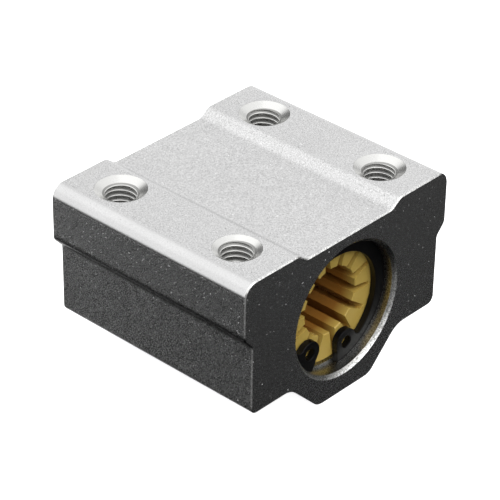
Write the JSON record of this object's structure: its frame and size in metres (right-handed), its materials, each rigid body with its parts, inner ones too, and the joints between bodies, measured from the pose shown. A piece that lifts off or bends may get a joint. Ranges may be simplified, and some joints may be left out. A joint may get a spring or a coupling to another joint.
{
  "type": "linear bearing block",
  "caption": "Extruded aluminium linear bearing block with tapped mounting holes and a ribbed polymer bushing that slides on a round shaft, held by internal retaining rings.",
  "frame": {"origin": "on the shaft axis, at the middle of the housing's length", "axes": "+Y along the shaft, away from the end that the picture shows; +X across the block; +Z out of the mounting face"},
  "size_m": [0.04, 0.035, 0.026],
  "materials": {
    "housing_aluminium": "blasted and clear anodised",
    "liner_polymer": "moulded, matte",
    "ring_steel": "blackened spring steel"
  },
  "bodies": {
    "root": {"housing": "housing_aluminium", "polymer_liner": "liner_polymer", "front_retaining_ring": "ring_steel", "rear_retaining_ring": "ring_steel"}
  },
  "joints": []
}
